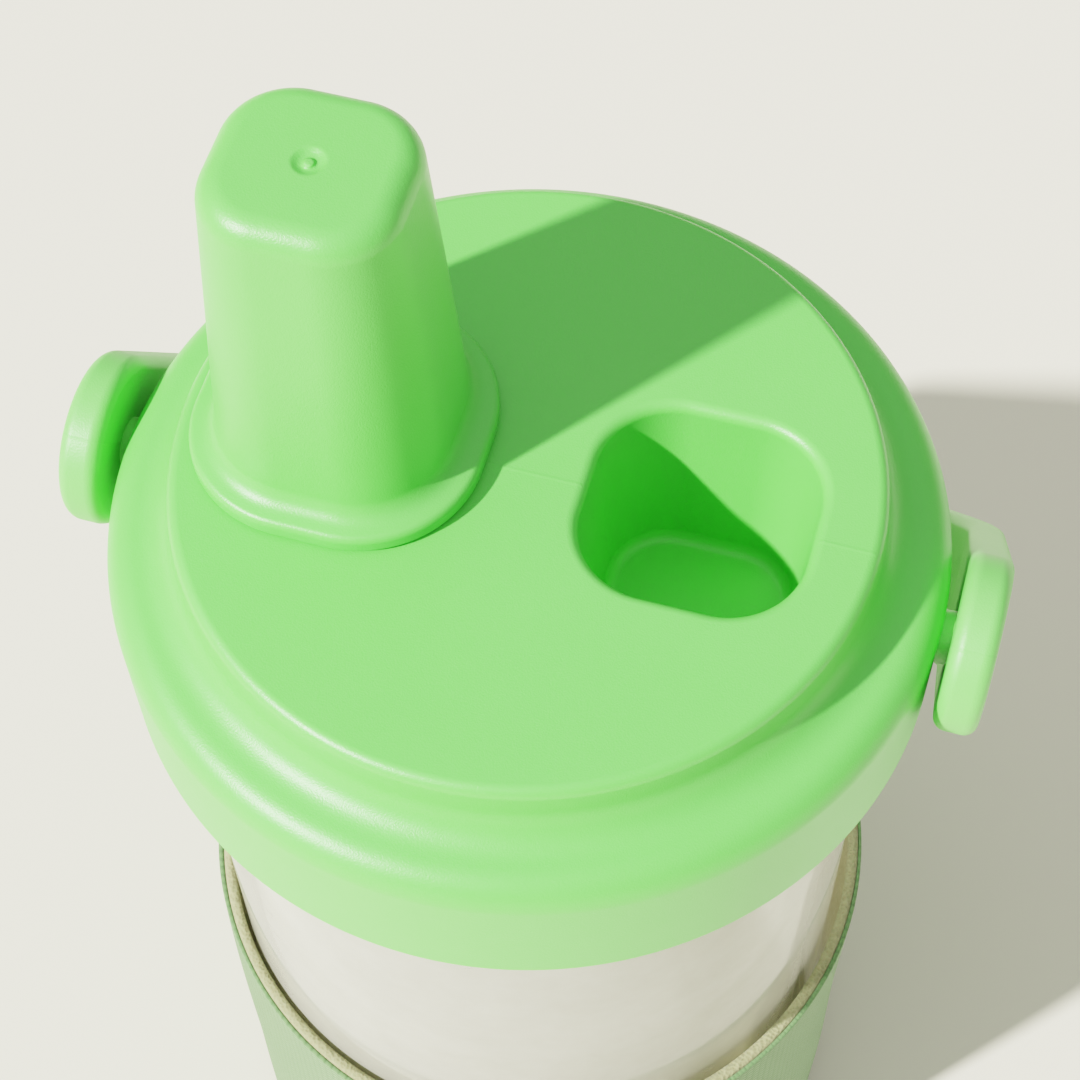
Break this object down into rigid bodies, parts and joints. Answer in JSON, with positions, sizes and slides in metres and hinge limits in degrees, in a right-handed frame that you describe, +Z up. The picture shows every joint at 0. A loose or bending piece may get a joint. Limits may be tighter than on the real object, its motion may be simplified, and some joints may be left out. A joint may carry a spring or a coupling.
{
  "type": "kids water bottle",
  "caption": "Kids bottle: clear wide-neck body in a soft sleeve, screw lid with tall push-on spout cap, cap-parking pocket and swinging carry handle.",
  "frame": {"origin": "centre of the face the bottle stands on, on the axis of the body and lid", "axes": "+Z up; the line from the spout cap (-X) to the pocket (+X) and the handle's pivots lie along X; -Y is the front, and the handle rests behind at +Y"},
  "size_m": [0.095, 0.0996, 0.1808],
  "materials": {
    "clear_wall": "clear, glossy",
    "foam": "closed-cell foam, matt",
    "knit": "fine knit, matt",
    "foam_base": "fine knit over foam, matt",
    "foot_rubber": "soft, matt",
    "tape": "woven tape",
    "lid_green": "satin moulded, fine texture",
    "insert_white": "satin moulded",
    "silicone_clear": "soft, translucent",
    "mouth_silicone": "soft, translucent",
    "cap_green": "satin moulded, fine texture",
    "handle_green": "satin moulded, fine texture",
    "stud_green": "satin moulded"
  },
  "bodies": {
    "sleeve": {"sleeve_foot": "foot_rubber", "sleeve_base": "foam_base", "sleeve_foam": "foam", "sleeve_fabric": "knit", "sleeve_seam_tape": "tape"},
    "bottle": {"bottle_body": "clear_wall"},
    "lid_seal": {"lid_gasket": "silicone_clear"},
    "lid": {"lid_cover": "lid_green", "lid_insert": "insert_white", "spout_stem": "insert_white", "stem_ring": "silicone_clear", "mouthpiece": "mouth_silicone", "straw": "mouth_silicone", "vent_valve": "silicone_clear", "collar_seal": "silicone_clear", "handle_stud_left": "stud_green", "handle_stud_right": "stud_green"},
    "cap": {"spout_cap": "cap_green", "cap_pad": "silicone_clear"},
    "carry_handle": {"handle": "handle_green"}
  },
  "joints": [
    {"name": "bottle_pull", "type": "slide", "parent": "sleeve", "child": "bottle", "axis": [0, 0, 1], "range_m": [0, 0.08]},
    {"name": "lid_lift", "type": "slide", "parent": "bottle", "child": "lid_seal", "axis": [0, 0, 1], "range_m": [0, 0.009]},
    {"name": "lid_turn", "type": "hinge", "parent": "lid_seal", "child": "lid", "pos_m": [0, 0, 0.13535], "axis": [0, 0, 1], "range_deg": [0, 540]},
    {"name": "cap_pull", "type": "slide", "parent": "lid", "child": "cap", "axis": [0, 0, 1], "range_m": [0, 0.045]},
    {"name": "handle_swing", "type": "hinge", "parent": "lid", "child": "carry_handle", "pos_m": [0, 0, 0.12875], "axis": [1, 0, 0], "range_deg": [0, 287.7]}
  ],
  "couplings": [
    {"joint": "lid_lift", "follows": "lid_turn", "m_per_rad": 0.00095493}
  ]
}
